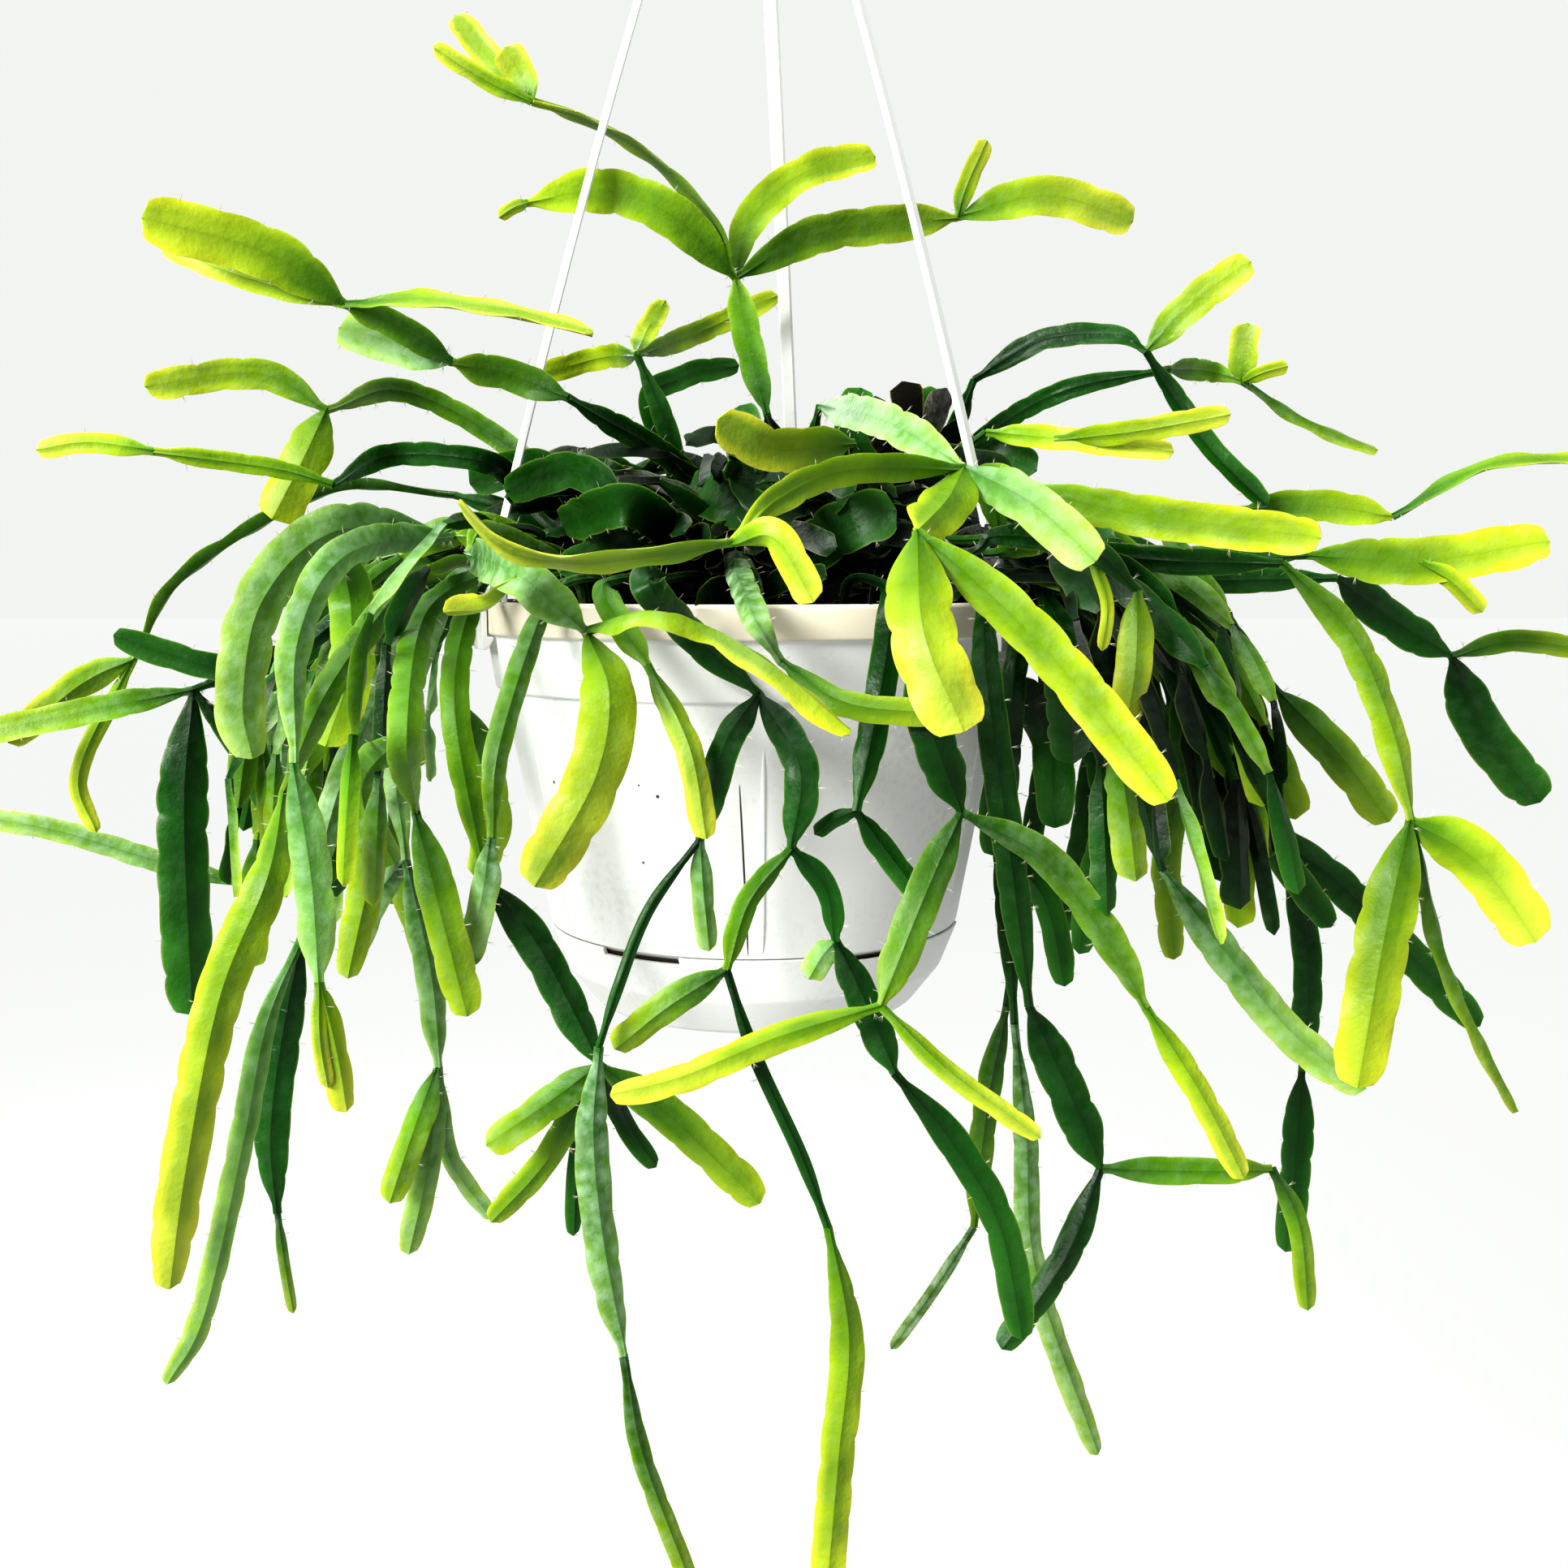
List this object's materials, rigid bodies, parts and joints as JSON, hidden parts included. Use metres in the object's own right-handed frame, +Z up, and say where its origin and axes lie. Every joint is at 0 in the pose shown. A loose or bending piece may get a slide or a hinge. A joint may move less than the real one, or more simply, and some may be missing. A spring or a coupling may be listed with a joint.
{
  "type": "potted rhipsalis",
  "caption": "Trailing flat-stemmed rhipsalis in a round hanging pot with a clip-on saucer and a strap hanger that ends in an open hook.",
  "frame": {"origin": "the point under the inside of the hook's bend, where the whole thing hangs from its rod or nail", "axes": "+Z up along the hanger and the pot's axis; the pictured front faces -Y; the hook's bend lies in the XZ plane"},
  "size_m": [0.5962, 0.4045, 0.6752],
  "materials": {
    "pot_white": "satin white, cream at the rim band",
    "saucer_white": "satin white",
    "hanger_white": "satin white",
    "soil_dark": "matt, crumbly",
    "stem_lime": "waxy, new growth",
    "stem_green": "waxy, mid green",
    "stem_dark": "waxy, old dark growth",
    "stem_pale": "waxy, grey bloom"
  },
  "bodies": {
    "root": {"hanger_hook": "hanger_white", "hanger_leg_left": "hanger_white", "hanger_leg_right": "hanger_white", "hanger_leg_back": "hanger_white", "pot": "pot_white", "saucer": "saucer_white", "soil": "soil_dark", "crown_back": "stem_dark", "crown_front_left": "stem_dark", "crown_front_right": "stem_dark", "crown_left": "stem_dark", "crown_right": "stem_dark", "stem_back_1": "stem_green", "stem_back_2": "stem_dark", "stem_back_3": "stem_green", "stem_back_4": "stem_dark", "stem_back_5": "stem_green", "stem_back_6": "stem_dark", "stem_back_dark": "stem_dark", "stem_back_left_tips": "stem_green", "stem_crown_lime": "stem_lime", "stem_front_cluster": "stem_lime", "stem_front_grey": "stem_green", "stem_front_left": "stem_lime", "stem_front_lime": "stem_lime", "stem_front_long": "stem_dark", "stem_front_mid": "stem_dark", "stem_front_right": "stem_lime", "stem_left_arch": "stem_lime", "stem_left_fan": "stem_dark", "stem_left_fold": "stem_green", "stem_left_grey": "stem_green", "stem_left_high": "stem_green", "stem_left_inner": "stem_green", "stem_left_lime": "stem_lime", "stem_left_low": "stem_dark", "stem_left_ribbon": "stem_lime", "stem_left_scar": "stem_green", "stem_left_spray": "stem_pale", "stem_left_star": "stem_green", "stem_left_wide": "stem_green", "stem_left_wire": "stem_lime", "stem_right_arch": "stem_dark", "stem_right_bank": "stem_dark", "stem_right_broad": "stem_lime", "stem_right_dark": "stem_dark", "stem_right_drape": "stem_green", "stem_right_fine": "stem_dark", "stem_right_fork": "stem_dark", "stem_right_leaf": "stem_lime", "stem_right_pair": "stem_lime", "stem_right_pale": "stem_dark", "stem_right_plumb": "stem_dark", "stem_right_reach": "stem_green", "stem_right_slope": "stem_dark", "stem_right_stout": "stem_dark", "stem_right_thread": "stem_green", "stem_right_tips": "stem_lime", "stem_side_left": "stem_green", "stem_upright": "stem_lime"}
  },
  "joints": []
}
